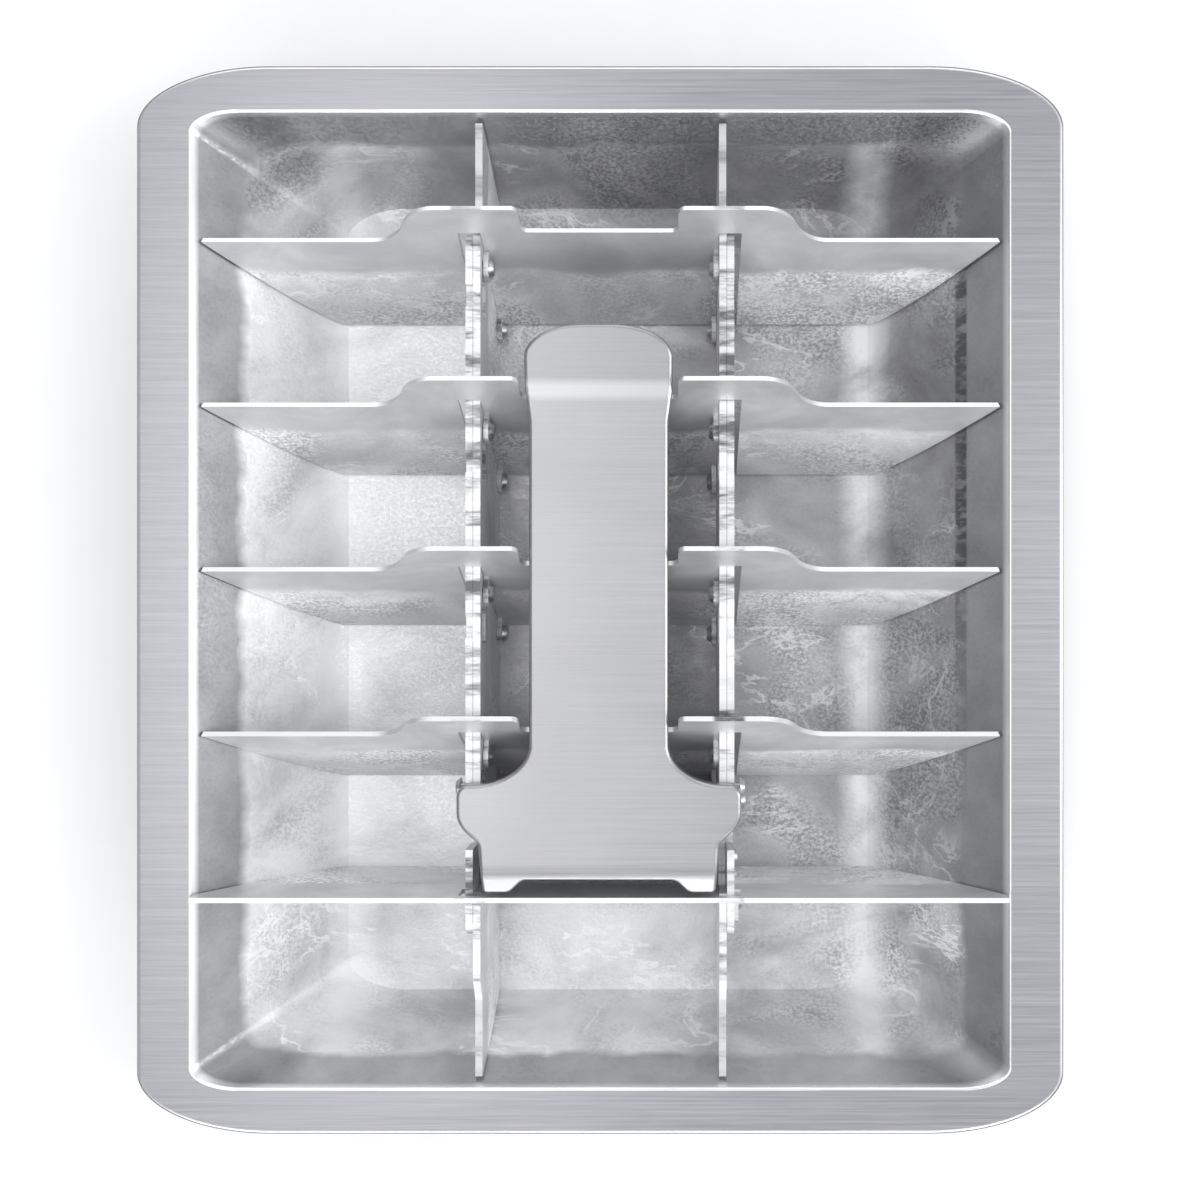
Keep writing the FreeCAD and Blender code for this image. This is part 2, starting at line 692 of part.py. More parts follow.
def make_cross_plate(row):
    """A cross plate: a comb sheet with a hump over the dividers and lugs for its pins."""
    name = "cross_plate_%d" % (row + 1)
    body = doc.addObject("PartDesign::Body", name + "_body")
    body.Placement = FreeCAD.Placement(V(0, 0, 0), FreeCAD.Rotation(V(1, 0, 0), -number("{PlateLean}")))
    body.setExpression("Placement.Base.y", dim(pivot_place(row)))
    body.setExpression("Placement.Base.z", dim("{PivotHeight}"))
    sheet = new_sketch(body, name + "_comb", "XZ_Plane", "-{PlateSetForward}")
    run = "({HumpFootHalf} - {HumpHalf})"
    climb = "({PlateHumpTop} - {PlateOuterTop})"
    bend = "((%s * %s + %s * %s) / (4 * %s))" % (run, run, climb, climb, climb)
    half = comb_outline("-{PlateFoot}", "{PlateSlotTop}", "{PlateOuterTop}", "{PanWidth} / 2")
    start = len(half)
    half.extend([
        ("{HumpFootHalf}", "{PlateOuterTop}"),
        ("({HumpFootHalf} + {HumpHalf}) / 2", "({PlateOuterTop} + {PlateHumpTop}) / 2"),
        ("{HumpHalf}", "{PlateHumpTop}"),
        ("{NotchHalf} + {HumpRound}", "{PlateHumpTop}"),
        ("{NotchHalf}", "{PlateHumpTop} - {HumpRound}"),
        ("{NotchHalf}", "{PlateNotchFloor} + {HumpRound}"),
        ("{NotchHalf} - {HumpRound}", "{PlateNotchFloor}"),
    ])
    bends = {
        start: (bend, -1),
        start + 1: (bend, 1),
        start + 3: ("{HumpRound}", 1),
        start + 5: ("{HumpRound}", -1),
    }
    draw_outline(sheet, *mirrored(half, bends))
    pad(body, sheet, name + "_sheet", "{PlateSheet}", symmetric=True)
    for side, side_name in SIDES:
        inner = LEG_HALF + " - {PlateSheet}" if side > 0 else "-" + LEG_HALF
        for lug, middle, foot in (("pivot", "0", "-{PlateFoot}"), ("drive", "{DrivePinRise}", None)):
            sketch = new_sketch(body, "%s_%s_lug_%s" % (name, lug, side_name), "YZ_Plane", inner)
            draw_lug(sketch, middle, foot)
            pad(body, sketch, "%s_%s_lug_pad_%s" % (name, lug, side_name), "{PlateSheet}")
    bore(body, name + "_pivot_hole", "0", "0", "{ShankRadius} + {FitClearance}")
    bore(body, name + "_drive_hole", "0", "{DrivePinRise}", "{ShankRadius}")
    return trimmed(body, name)


def draw_lug(sketch, middle, foot):
    """A lug bent back from the sheet's edge to a round end about the pin's axis."""
    low = foot if foot is not None else middle + " - {LugReach}"
    draw_outline(sketch, [
        ("0", middle + " - {LugReach}"),
        ("{PlateSetForward}", low),
        ("{PlateSetForward}", middle + " + {LugReach}"),
        ("0", middle + " + {LugReach}"),
        ("-{LugReach}", middle),
    ], {3: ("{LugReach}", 1), 4: ("{LugReach}", 1)})


def bore(body, name, place, height, radius):
    """A round hole right through both lugs along X."""
    sketch = new_sketch(body, name + "_circle", "YZ_Plane")
    draw_circle(sketch, place, height, radius)
    before = body.Shape.Volume
    cut = body.newObject("PartDesign::Pocket", name)
    cut.Profile = sketch
    cut.Type = "ThroughAll"
    cut.SideType = "Symmetric"
    doc.recompute()
    if body.Shape.Volume >= before:
        raise RuntimeError(name + " cut nothing")


# The end plate: upright, and fixed to the strips.

def make_end_plate():
    """The fifth cross plate with two lugs riveted to the slide strips."""
    body = doc.addObject("PartDesign::Body", "end_plate_body")
    body.setExpression("Placement.Base.y", dim("-{EndPlatePlace}"))
    sheet = new_sketch(body, "end_plate_comb", "XZ_Plane")
    half = comb_outline("{EndPlateBottom}", "{DividerTop} + {BridgeGap}", "{EndPlateTop}", "{PanWidth} / 2")
    draw_outline(sheet, *mirrored(half, {}))
    pad(body, sheet, "end_plate_sheet", "{PlateSheet}", symmetric=True)
    lug_inner = STRIP_OUT + " + {FaceGap} / 2"
    web_end = SLOT_OUTER + " + {EndWebLap}"
    for side, side_name in SIDES:
        inner = lug_inner if side > 0 else "-(" + lug_inner + " + {PlateSheet})"
        sketch = new_sketch(body, "end_lug_" + side_name, "YZ_Plane", inner)
        draw_box(sketch, "-{EndLugReach}", "0", "{EndLugBottom}", "{EndLugTop}")
        pad(body, sketch, "end_lug_pad_" + side_name, "{PlateSheet}")
        web = new_sketch(body, "end_web_" + side_name, "XZ_Plane")
        draw_box(
            web,
            lug_inner if side > 0 else "-(" + web_end + ")",
            web_end if side > 0 else "-(" + lug_inner + ")",
            "{EndLugBottom}",
            "{EndLugTop}")
        pad(body, web, "end_web_pad_" + side_name, "{PlateSheet}", symmetric=True)
    bore(body, "end_plate_rivet_hole", "-{EndRivetSetback}", END_RIVET_HEIGHT, "{ShankRadius}")
    return trimmed(body, "end_plate")


# The lever: pressed from one sheet, with turned-down edges, ears and two feet.

def lever_plan(shrink):
    """The lever's plan outline at height zero, drawn in by shrink."""
    strap = number("{LeverStrapHalf}") - shrink
    tip = number("{LeverTipHalf}") - shrink
    bend_y = number("{LeverBendPlace}")
    ear_x = number(EAR_OUT) - shrink
    ear_front = -number("{FlareEnd}") - shrink
    ear_rear = -number("{FlareEnd} + {EarLength}") + shrink
    neck_x = number(DIVIDER_IN + " - {YokeSideGap}") - shrink
    neck_y = -number("{FlareEnd} + {EarLength} + {YokeStep}") + shrink
    foot_x = neck_x - number("{FootTaper}")
    foot_y = -number("{FootPlace}") + shrink
    foot_in = foot_x - number("{FootLength}") + 2 * shrink
    relief = number("{FootRelief}")
    small = number("{CornerCut}")
    ear_round = number("{EarRound}") - shrink
    half = [
        (V(foot_in - relief, foot_y + relief, 0), small, small),
        (V(foot_in, foot_y, 0), small, small),
        (V(foot_x, foot_y, 0), small, small),
        (V(neck_x, neck_y, 0), small, small),
        (V(ear_x, ear_rear, 0), ear_round, ear_round),
        (V(ear_x, ear_front, 0), ear_round, ear_round),
        (V(strap, ear_front, 0), number("{FlareAcross}") + shrink, number("{FlareAlong}") + shrink),
        (V(strap, bend_y - number("{TipStepLength}"), 0), small, small),
        (V(tip, bend_y, 0), small, small),
        (V(tip, number("{LeverTipPlace}"), 0), number("{LeverTipAlong}"), number("{LeverTipAcross}")),
    ]
    other = [(V(-point.x, point.y, 0), after, before) for point, before, after in reversed(half)]
    return soft_wire(half + other)


def lever_prism(corners):
    """A solid across the lever's full width from side-view corners given as (y, z, cut)."""
    half = number(EAR_OUT) + number("{CutOverrun}")
    wire = soft_wire([(V(-half, y, z), cut, cut) for y, z, cut in corners])
    return Part.Face(wire).extrude(V(2 * half, 0, 0))


def lever_form():
    """The lever as a solid form, with its curled feet and its thin bent-up tip."""
    top = number("{LeverTop}")
    sheet = number("{LeverSheet}")
    under = top - number("{LeverEdgeDepth}")
    past = number("{CutOverrun}")
    past_foot = -number("{FootPlace}") - past
    curl_y = -number("{FootPlace}") + number("{FootCurl}")
    curl_z = top - number("{FootDrop}") * (1 + past / number("{FootCurl}"))
    bend_y = number("{LeverBendPlace}")
    past_tip = number("{LeverTipPlace}") + past
    tip_z = top + (past_tip - bend_y) * math.tan(math.radians(number("{LeverTipRise}")))
    return lever_prism([
        (past_foot, under, 0),
        (bend_y - number("{TipThinRun}"), under, 0),
        (bend_y, top - sheet, 0),
        (past_tip, tip_z - sheet, 0),
        (past_tip, tip_z, 0),
        (bend_y, top, number("{TipBendRound}")),
        (curl_y, top, number("{FootCurlRound}")),
        (past_foot, curl_z, 0),
    ])


def lever_hollow():
    """The hollow under the lever, one sheet below its top, that leaves its edges turned down."""
    sheet = number("{LeverSheet}")
    top = number("{LeverTop}") - sheet
    past = number("{CutOverrun}")
    under = number("{LeverTop}") - number("{LeverEdgeDepth}") - past
    past_foot = -number("{FootPlace}") - past
    curl_y = -number("{FootPlace}") + number("{FootCurl}")
    curl_z = top - number("{FootDrop}") * (1 + past / number("{FootCurl}"))
    end_y = number("{LeverBendPlace}") - sheet
    return lever_prism([
        (past_foot, under, 0),
        (end_y - number("{TipThinRun}") - number("{HollowSetback}"), under, 0),
        (end_y, top, 0),
        (curl_y, top, number("{FootCurlRound}")),
        (past_foot, curl_z, 0),
    ])


def top_edges(shape):
    """The edges all round the upper side, where it meets the upright sides."""
    upper = [face for face in shape.Faces if face.normalAt(0, 0).z > 0.5]
    counts = {}
    for face in upper:
        for edge in face.Edges:
            counts.setdefault(edge.hashCode(), []).append(edge)
    return [edges[0] for edges in counts.values() if len(edges) == 1]


def make_lever():
    """The lever's shell: an outer form less an inner one, with its two ears."""
    sheet = number("{LeverSheet}")
    rise = V(0, 0, 2 * number("{LeverTop}"))
    outer = Part.Face(lever_plan(0.0)).extrude(rise).common(lever_form())
    outer = outer.makeFillet(number("{LeverRound}"), top_edges(outer))
    inner = Part.Face(lever_plan(sheet)).extrude(rise).common(lever_hollow())
    shell = outer.cut(inner)
    ears = [lever_ear(side) for side, _ in SIDES]
    shell = shell.fuse(ears).removeSplitter()
    lever = doc.addObject("Part::Feature", "lever")
    lever.Shape = shell
    lever.Placement = FreeCAD.Placement()
    lever.Label = "lever"
    return lever


def lever_ear(side):
    """One ear, from the yoke's edge down to a round end about the pivot, with its two holes."""
    top = number("{LeverTop}") - number("{LeverSheet}")
    inset = number("{EarInset}")
    front = -number("{FlareEnd}") - inset
    rear = front - number("{EarLength}") + 2 * inset
    pivot = V(0, -number("{LeverPivotPlace}"), number("{LeverPivotHeight}"))
    reach = number("{EarReach}")
    points = [
        V(0, front, top),
        V(0, rear, top),
        V(0, pivot.y - reach, pivot.z + number("{EarHeelRise}")),
        V(0, pivot.y - reach, pivot.z),
    ]
    arc = Part.Arc(points[3], pivot + V(0, 0, -reach), pivot + V(0, reach, 0)).toShape()
    edges = [Part.makeLine(points[0], points[1]), Part.makeLine(points[1], points[2])]
    edges.append(Part.makeLine(points[2], points[3]))
    edges.append(arc)
    shoulder = V(0, front, pivot.z + number("{EarShoulderRise}"))
    edges.append(Part.makeLine(pivot + V(0, reach, 0), shoulder))
    edges.append(Part.makeLine(shoulder, points[0]))
    thickness = number("{LeverSheet}")
    ear = Part.Face(Part.Wire(edges)).extrude(V(thickness, 0, 0))
    start = number(EAR_IN) if side > 0 else -number(EAR_OUT)
    ear.translate(V(start, 0, 0))
    pin = V(start, -number(LEVER_PIN_REST), number(LEVER_PIN_LOW))
    shank = number("{ShankRadius}")
    holes = [
        Part.makeCylinder(shank + number("{FitClearance}"), thickness, V(start, pivot.y, pivot.z), V(1, 0, 0)),
        Part.makeCylinder(shank, thickness, pin, V(1, 0, 0)),
    ]
    return ear.cut(holes)


# Build every piece.

pieces = make_pan()
for side, side_name in SIDES:
    pieces.append(make_divider(side, side_name))
    pieces.append(make_strip(side, side_name))
for row in ROWS:
    pieces.append(make_cross_plate(row))
pieces.append(make_end_plate())
pieces.append(make_lever())

LUG_FACE = "(" + LEG_HALF + " - {PlateSheet} - {FaceGap})"
pivot_rivets = []
for row in ROWS:
    plate_pins = []
    for side, side_name in SIDES:
        tag = "%d_%s" % (row + 1, side_name)
        pivot_rivets.append(rivet(
            "pivot_rivet_" + tag, side, LUG_FACE, "(" + STRIP_OUT + " + {FaceGap})",
            pivot_place(row), "{PivotHeight}"))
        plate_pins.append(rivet(
            "drive_pin_" + tag, side, "(" + LEG_HALF + " - {PlateSheet})", "(" + STRIP_OUT + " - {FaceGap})",
            "(" + pivot_place(row) + " + " + TRAVEL + ")", PIN_LOW, high_head=False))
    pieces.append(group("cross_plate_%d_pins" % (row + 1), plate_pins))
pieces.append(group("plate_pivot_rivets", pivot_rivets))

WASHER_IN = "(" + EAR_OUT + " + {FaceGap})"
WASHER_OUT = "(" + EAR_OUT + " + {FaceGap} + {WasherThickness})"
lever_rivets = []
lever_pins = []
guide_rivets = []
end_rivets = []
washers = []
for side, side_name in SIDES:
    lever_rivets.append(rivet(
        "lever_rivet_" + side_name, side, DIVIDER_IN, WASHER_OUT,
        "-{LeverPivotPlace}", "{LeverPivotHeight}"))
    lever_pins.append(rivet(
        "lever_pin_" + side_name, side, "(" + STRIP_IN + " + {FaceGap})", EAR_OUT,
        "-" + LEVER_PIN_REST, LEVER_PIN_LOW, low_head=False))
    guide_rivets.append(rivet(
        "guide_rivet_" + side_name, side, DIVIDER_IN, "(" + STRIP_OUT + " + {FaceGap})",
        "-{GuidePlace}", "{GuideHeight}"))
    end_rivets.append(rivet(
        "end_rivet_" + side_name, side, STRIP_IN, "(" + STRIP_OUT + " + {FaceGap} / 2 + {PlateSheet})",
        END_RIVET_PLACE, END_RIVET_HEIGHT, low_head=False))
    start = WASHER_IN if side > 0 else "-" + WASHER_OUT
    end = WASHER_OUT if side > 0 else "-" + WASHER_IN
    ring = doc.addObject("Part::Cut", "washer_" + side_name)
    ring.Base = rod("washer_disc_" + side_name, start, end, "-{LeverPivotPlace}", "{LeverPivotHeight}",
                    "{WasherRadius}")
    ring.Tool = rod("washer_bore_" + side_name, start, end, "-{LeverPivotPlace}", "{LeverPivotHeight}",
                    "{ShankRadius}")
    washers.append(ring)
pieces.append(group("lever_pivot_rivets", lever_rivets))
pieces.append(group("lever_drive_pins", lever_pins))
pieces.append(group("strip_guide_rivets", guide_rivets))
pieces.append(group("end_plate_rivets", end_rivets))
pieces.append(group("lever_washers", washers))

doc.recompute()

for item in doc.Objects:
    if "Invalid" in item.State or "Error" in item.State:
        raise RuntimeError("%s failed: %s" % (item.Name, item.State))
for piece in pieces:
    if piece.Shape.isNull() or not piece.Shape.isValid():
        raise RuntimeError(piece.Label + " has a bad shape")

os.makedirs("parts", exist_ok=True)
for piece in pieces:
    piece.Shape.exportStep("parts/%s.step" % piece.Label)
    box = piece.Shape.BoundBox
    print("%-22s solids %d volume %9.1f  x %.2f..%.2f y %.2f..%.2f z %.2f..%.2f" % (
        piece.Label, len(piece.Shape.Solids), piece.Shape.Volume,
        box.XMin, box.XMax, box.YMin, box.YMax, box.ZMin, box.ZMax))
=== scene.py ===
import json

import bpy
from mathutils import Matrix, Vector


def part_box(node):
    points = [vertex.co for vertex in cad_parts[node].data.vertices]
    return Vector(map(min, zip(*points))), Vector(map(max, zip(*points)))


# The looks of the lever ice cube tray: brushed rim, frosted hollow, satin grid and brushed lever.
# Lengths are in metres, and noise is given in swells to the metre along X, Y and Z.

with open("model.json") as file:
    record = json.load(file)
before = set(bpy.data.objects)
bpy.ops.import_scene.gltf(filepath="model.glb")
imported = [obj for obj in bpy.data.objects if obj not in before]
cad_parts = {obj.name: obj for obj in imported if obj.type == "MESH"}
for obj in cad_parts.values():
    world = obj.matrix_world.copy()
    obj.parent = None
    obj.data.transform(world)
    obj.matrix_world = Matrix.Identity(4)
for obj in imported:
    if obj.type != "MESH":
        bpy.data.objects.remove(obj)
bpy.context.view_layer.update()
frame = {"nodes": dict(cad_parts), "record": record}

# The photograph's frame at the rim's height, and the camera that stands straight above it.
RIM_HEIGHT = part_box("pan_side_left")[1].z
FRAME_WIDTH = 0.3137
CAMERA_RISE = 0.330
CAMERA_X = 0.022
CAMERA_Y = 0.003
SENSOR = 36.0
NEAR_CLIP = 0.01

# Where the lever's flat strap bends up into its tip.
LEVER_BEND = 0.054
BEND_HALF = 0.0010
BEND_FADE = 0.0030

# Where the water stood in the cells, for the frosted and the bare part of the hollow.
WATER_LINE = RIM_HEIGHT - 0.0125
WATER_FADE = 0.0012
WATER_WAVE = 0.0016

# How far from the middle the pan's floor bends up into its side walls.
FLOOR_BEND = 0.075
WALL_START = FLOOR_BEND + 0.004
WALL_FULL = FLOOR_BEND + 0.010

# Where the end rows of cells begin.
NEAR_ROW = -0.085
FAR_ROW = 0.088

# The dividers and strips, as a band of distances from the middle.
DIVIDER_INNER = 0.029
DIVIDER_OUTER = 0.038
DIVIDER_FADE = 0.001

# Plain tones.
# painted highlight on the upward-facing top edges
TOP_HIGHLIGHT = (0.93, 0.93, 0.935)
# pale frost, partly painted light
PALE_FROST_AND_LIGHT = (0.93, 0.93, 0.935)
# painted glint
GLINT = (0.97, 0.97, 0.975)
DARK_VEIN = (0.30, 0.30, 0.31)
# painted highlight where the floor bends up
FLOOR_SHINE = (0.95, 0.95, 0.955)
# painted shade for the broken dark line at the water line
WATERLINE_SHADE = (0.10, 0.10, 0.11)
# painted highlights on the rim's mouth and outer edge, and painted dark reflection and shadow on its lip
MOUTH_HIGHLIGHT = (0.93, 0.93, 0.94)
OUTER_HIGHLIGHT = (0.80, 0.80, 0.81)
LIP_SHADE = (0.20, 0.20, 0.21)
DULL_EDGE = (0.50, 0.505, 0.51)
# painted shade on the lever's tip, and a painted highlight along its bend
TIP_SHADE = (0.36, 0.36, 0.38)
BEND_HIGHLIGHT = (0.78, 0.78, 0.79)
SKY_TONE = (0.965, 0.975, 1.0, 1.0)


class Nodes:
    """A node tree, with one short call for each kind of node."""

    def __init__(self, owner):
        owner.use_nodes = True
        self.owner = owner
        self.tree = owner.node_tree
        self.shader = self.tree.nodes.get("Principled BSDF")

    def add(self, kind, **settings):
        """A node with its settings."""
        node = self.tree.nodes.new(kind)
        for key, value in settings.items():
            setattr(node, key, value)
        return node

    def link(self, start, end):
        self.tree.links.new(start, end)

    def feed(self, node, name, value):
        """Link a socket, or set a plain value or colour, on a node's input."""
        if isinstance(value, bpy.types.NodeSocket):
            self.link(value, node.inputs[name])
        elif isinstance(value, tuple) and len(value) == 3:
            node.inputs[name].default_value = (*value, 1.0)
        else:
            node.inputs[name].default_value = value

    def place(self):
        """Object coordinates, in metres."""
        return self.add("ShaderNodeTexCoord").outputs["Object"]

    def pattern(self, swells, detail=3.0, roughness=0.5, distortion=0.0):
        """Noise over the object."""
        mapping = self.add("ShaderNodeMapping")
        self.link(self.place(), mapping.inputs["Vector"])
        mapping.inputs["Scale"].default_value = swells
        node = self.add("ShaderNodeTexNoise")
        self.link(mapping.outputs["Vector"], node.inputs["Vector"])
        node.inputs["Scale"].default_value = 1.0
        node.inputs["Detail"].default_value = detail
        node.inputs["Roughness"].default_value = roughness
        node.inputs["Distortion"].default_value = distortion
        return node.outputs["Fac"]

    def ramp(self, value, stops):
        """A colour ramp of (place, colour) stops."""
        node = self.add("ShaderNodeValToRGB")
        self.link(value, node.inputs["Fac"])
        ramp = node.color_ramp
        while len(ramp.elements) < len(stops):
            ramp.elements.new(0.5)
        for element, (place, tone) in zip(ramp.elements, stops):
            element.position = place
            element.color = (*tone, 1.0)
        return node.outputs["Color"]

    def span(self, value, low, high, new_low=0.0, new_high=1.0):
        """A value stretched from one range to another and kept inside it."""
        node = self.add("ShaderNodeMapRange")
        self.link(value, node.inputs["Value"])
        node.inputs["From Min"].default_value = low
        node.inputs["From Max"].default_value = high
        node.inputs["To Min"].default_value = new_low
        node.inputs["To Max"].default_value = new_high
        return node.outputs["Result"]

    def calc(self, operation, first, second=0.0):
        node = self.add("ShaderNodeMath", operation=operation)
        self.feed(node, 0, first)
        self.feed(node, 1, second)
        return node.outputs[0]

    def times(self, first, *others):
        """The product of two or more values."""
        product = first
        for other in others:
            product = self.calc("MULTIPLY", product, other)
        return product

    def apart(self, value, centre):
        """How far a value is from a centre, on either side."""
        return self.calc("ABSOLUTE", self.calc("SUBTRACT", value, centre))

    def mix(self, factor, first, second, blend="MIX"):
        """Two colours mixed by a factor."""
        node = self.add("ShaderNodeMix", data_type="RGBA", blend_type=blend)
        self.feed(node, 0, factor)
        self.feed(node, 6, first)
        self.feed(node, 7, second)
        return node.outputs[2]

    def blend(self, factor, first, second):
        """Two plain values mixed by a factor."""
        node = self.add("ShaderNodeMix", data_type="FLOAT")
        self.feed(node, 0, factor)
        self.feed(node, 2, first)
        self.feed(node, 3, second)
        return node.outputs[0]

    def shade(self, colour, value):
        """A colour made darker or paler by a grey value."""
        grey = self.add("ShaderNodeCombineColor")
        for channel in ("Red", "Green", "Blue"):
            self.link(value, grey.inputs[channel])
        return self.mix(1.0, colour, grey.outputs["Color"], "MULTIPLY")

    def split(self, vector):
        """The X, Y and Z of a vector."""
        node = self.add("ShaderNodeSeparateXYZ")
        self.link(vector, node.inputs[0])
        return node.outputs["X"], node.outputs["Y"], node.outputs["Z"]

    def facing(self):
        """The X, Y and Z of the surface's own direction."""
        return self.split(self.add("ShaderNodeNewGeometry").outputs["Normal"])

    def outward(self):
        """Above zero where the surface faces away from the tray's middle, below zero where it faces it."""
        across, along, _ = self.split(self.place())
        side, end, _ = self.facing()
        return self.calc("ADD", self.times(across, side), self.times(along, end))

    def bump(self, value, strength, distance, before=None):
        node = self.add("ShaderNodeBump")
        self.link(value, node.inputs["Height"])
        self.feed(node, "Strength", strength)
        node.inputs["Distance"].default_value = distance
        if before is not None:
            self.link(before, node.inputs["Normal"])
        return node.outputs["Normal"]

    def finish(self, colour, roughness, normal, metallic=1.0):
        self.feed(self.shader, "Base Color", colour)
        self.feed(self.shader, "Roughness", roughness)
        self.link(normal, self.shader.inputs["Normal"])
        self.feed(self.shader, "Metallic", metallic)
        return self.owner


def new_finish(name):
    """The node tree of a new material."""
    return Nodes(bpy.data.materials.new(name))


def brushed_lines(nodes, fine=1.0):
    """Brush marks that run along X, as one grey value."""
    long_lines = 1500.0 * fine
    short_lines = 4200.0 * fine
    long_marks = nodes.pattern((14.0, long_lines, long_lines), 4.0, 0.6)
    short_marks = nodes.pattern((60.0, short_lines, short_lines), 2.0, 0.5)
    return nodes.calc("ADD", nodes.times(long_marks, 0.6), nodes.times(short_marks, 0.4))


def water_depth(nodes):
    """From 0 above the uneven water line to 1 below it."""
    _, _, height = nodes.split(nodes.place())
    wavy = nodes.pattern((55.0, 55.0, 12.0), 4.0, 0.55)
    uneven = nodes.calc("ADD", height, nodes.span(wavy, 0.3, 0.7, -WATER_WAVE, WATER_WAVE))
    return nodes.span(uneven, WATER_LINE + WATER_FADE, WATER_LINE - WATER_FADE)


def frost(nodes, dim, pale):
    """Frosted metal between a dim and a pale grey, with icy streaks carrying painted glints and patches of
    grit.
    """
    clouds = nodes.pattern((28.0, 36.0, 36.0), 5.0, 0.55, 0.5)
    grit = nodes.pattern((950.0, 1150.0, 1150.0), 4.0, 0.68)
    patchy = nodes.span(nodes.pattern((31.0, 38.0, 38.0), 3.0, 0.5, 0.8), 0.46, 0.62)
    dim_tone = (dim, dim, dim * 1.02)
    pale_tone = (pale, pale, pale * 1.01)
    tone = nodes.mix(nodes.span(clouds, 0.34, 0.64), dim_tone, pale_tone)
    smooth = nodes.span(grit, 0.40, 0.60, 0.93, 1.05)
    rough = nodes.span(grit, 0.42, 0.60, 0.58, 1.20)
    tone = nodes.shade(tone, nodes.blend(patchy, smooth, rough))
    # painted glints along pale veins, with thin dark veins beside them, only in some patches
    veins = nodes.pattern((21.0, 40.0, 40.0), 6.0, 0.62, 0.6)
    patches = nodes.span(nodes.pattern((27.0, 34.0, 34.0), 2.0, 0.5), 0.50, 0.58)
    vein_glint = nodes.span(nodes.apart(veins, 0.5), 0.003, 0.016, 0.9, 0.0)
    dark_vein = nodes.span(nodes.apart(veins, 0.56), 0.002, 0.010, 0.30, 0.0)
    tone = nodes.mix(nodes.times(vein_glint, patches), tone, GLINT)
    tone = nodes.mix(nodes.times(dark_vein, patches), tone, DARK_VEIN)
    relief = nodes.calc("ADD", clouds, nodes.times(grit, 0.10))
    return tone, relief, grit


def pan_frost(nodes, across, along, side_wall):
    """The frost inside the pan, with painted light and shade in its colour: its colour, its relief and its
    fine grit.
    """
    frosted, relief, grit = frost(nodes, 0.40, 0.76)
    reach = nodes.calc("ABSOLUTE", across)
    # paler on the left and darker on the right, partly thicker frost and partly painted light; paler in the
    # near row and darker in the far one
    frost_and_light = nodes.span(across, -0.045, 0.045, 1.28, 0.78)
    frost_and_light = nodes.blend(nodes.span(along, NEAR_ROW + 0.015, NEAR_ROW), frost_and_light, 1.16)
    far_row = nodes.span(along, FAR_ROW, FAR_ROW + 0.012, 1.0, 0.76)
    # painted shade on the side walls, darker on the right wall than on the left
    wall_shade = nodes.blend(side_wall, 1.0, nodes.span(across, -0.01, 0.01, 0.94, 0.84))
    frosted = nodes.shade(frosted, nodes.times(frost_and_light, far_row, wall_shade))
    # paler frost on the left floors, partly painted light, and under the middle of the near row
    left = nodes.span(across, -0.020, -0.044, 0.0, 0.85)
    before_far_row = nodes.span(along, FAR_ROW + 0.006, FAR_ROW - 0.002, 0.35, 1.0)
    past_near_row = nodes.span(along, NEAR_ROW - 0.005, NEAR_ROW + 0.003, 0.60, 1.0)
    left = nodes.times(left, nodes.blend(side_wall, 1.0, 0.75), before_far_row, past_near_row)
    in_near_row = nodes.span(along, NEAR_ROW + 0.005, NEAR_ROW - 0.005)
    near_middle = nodes.times(in_near_row, nodes.span(reach, 0.045, 0.025, 0.0, 0.55))
    white = nodes.calc("MAXIMUM", left, near_middle)
    white = nodes.times(white, nodes.span(relief, 0.42, 0.66, 0.55, 1.25))
    frosted = nodes.mix(white, frosted, PALE_FROST_AND_LIGHT)
    # painted highlight: the bright stripe where the floor bends up
    before_bend = nodes.span(reach, FLOOR_BEND - 0.009, FLOOR_BEND - 0.003)
    past_bend = nodes.span(reach, FLOOR_BEND + 0.001, FLOOR_BEND + 0.006, 1.0, 0.0)
    uneven = nodes.span(relief, 0.42, 0.60, 0.30, 0.95)
    frosted = nodes.mix(nodes.times(before_bend, past_bend, uneven), frosted, FLOOR_SHINE)
    return frosted, relief, grit


def bare_wall(nodes, across, side_wall):
    """The stained metal above the water line, with painted shade on the side walls."""
    stains = nodes.pattern((60.0, 60.0, 60.0), 5.0, 0.6)
    bare = nodes.ramp(stains, [
        (0.3, (0.46, 0.47, 0.48)),
        (0.7, (0.66, 0.665, 0.675)),
    ])
    # painted shade on the side walls, darker on the left wall than on the right
    return nodes.shade(bare, nodes.blend(side_wall, 1.0, nodes.span(across, -0.01, 0.01, 0.68, 0.76)))


def waterline_shade_amount(nodes, across, along, height):
    """How much of the broken dark line of painted shade at the water line along the right wall is here."""
    level = nodes.apart(height, WATER_LINE - 0.0005)
    line = nodes.span(level, 0.0012, 0.0018, 1.0, 0.0)
    right_wall = nodes.span(across, 0.086, 0.090)
    stronger = nodes.span(along, -0.032, 0.020, 0.25, 0.95)
    before_far_row = nodes.span(along, FAR_ROW - 0.002, FAR_ROW + 0.004, 1.0, 0.0)
    past_near_row = nodes.span(along, -0.060, -0.045)
    broken = nodes.span(nodes.pattern((160.0, 330.0, 160.0), 4.0, 0.6), 0.42, 0.54, 0.35, 1.0)
    return nodes.times(line, right_wall, stronger, before_far_row, past_near_row, broken)


